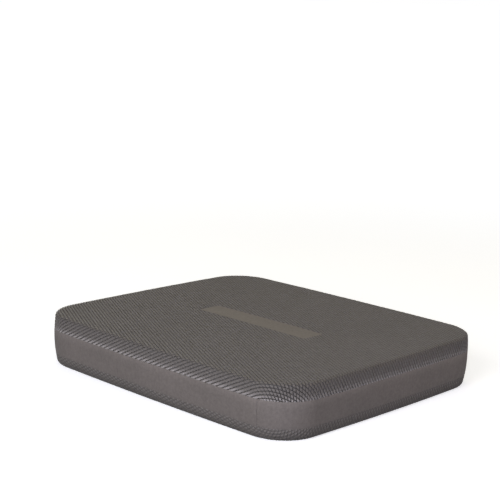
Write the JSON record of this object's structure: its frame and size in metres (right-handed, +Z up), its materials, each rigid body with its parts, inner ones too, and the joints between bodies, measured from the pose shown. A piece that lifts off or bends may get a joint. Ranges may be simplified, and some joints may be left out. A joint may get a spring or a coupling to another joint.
{
  "type": "balance pad",
  "caption": "Thick rounded-rectangle foam balance pad with diamond-textured top and bottom skins, a smooth side band and a blank panel in the middle of the top.",
  "frame": {"origin": "centre of the pad's plan, on the flat underside", "axes": "+Z up through the thickness, +X along the long side, +Y along the short side"},
  "size_m": [0.4, 0.3428, 0.06],
  "materials": {
    "textured_skin": "matte, moulded diamond grip texture",
    "smooth_band": "matte, fine-pored smooth foam",
    "smooth_panel": "matte, smooth foam",
    "core_foam": "matte closed-cell foam"
  },
  "bodies": {
    "root": {"top_skin": "textured_skin", "bottom_skin": "textured_skin", "side_band": "smooth_band", "name_panel": "smooth_panel", "foam_core_upper": "core_foam", "foam_core_lower": "core_foam"}
  },
  "joints": []
}
